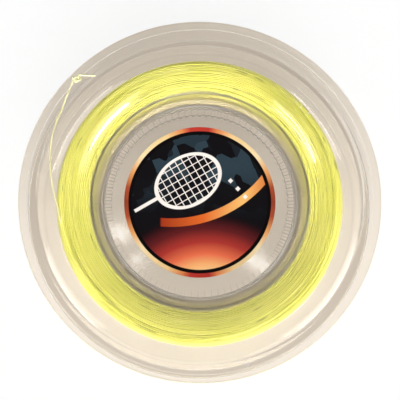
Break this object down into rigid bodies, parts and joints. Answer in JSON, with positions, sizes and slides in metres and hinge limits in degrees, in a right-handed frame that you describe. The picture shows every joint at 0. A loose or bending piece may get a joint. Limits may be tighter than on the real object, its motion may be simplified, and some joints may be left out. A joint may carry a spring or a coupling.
{
  "type": "string reel",
  "caption": "Round clear reel with dished flanges and a deep central cup, wound with thin yellow racket string whose loose end is knotted through the rim.",
  "frame": {"origin": "centre of the back rim face, on the surface that the reel lies on", "axes": "+Z along the reel's axis, from the back rim face towards the labelled front; +X and +Y across the flanges, with the knot in the -X +Y quarter"},
  "size_m": [0.15, 0.15, 0.0318],
  "materials": {
    "clear_shell": "clear injection-moulded plastic, glossy, with a faint warm grey tint",
    "string": "glossy yellow coated nylon",
    "label": "printed card with a satin laminate"
  },
  "bodies": {
    "root": {"front_half": "clear_shell", "back_half": "clear_shell", "string_core": "string", "string_turns": "string", "string_tail": "string", "front_label": "label"}
  },
  "joints": []
}
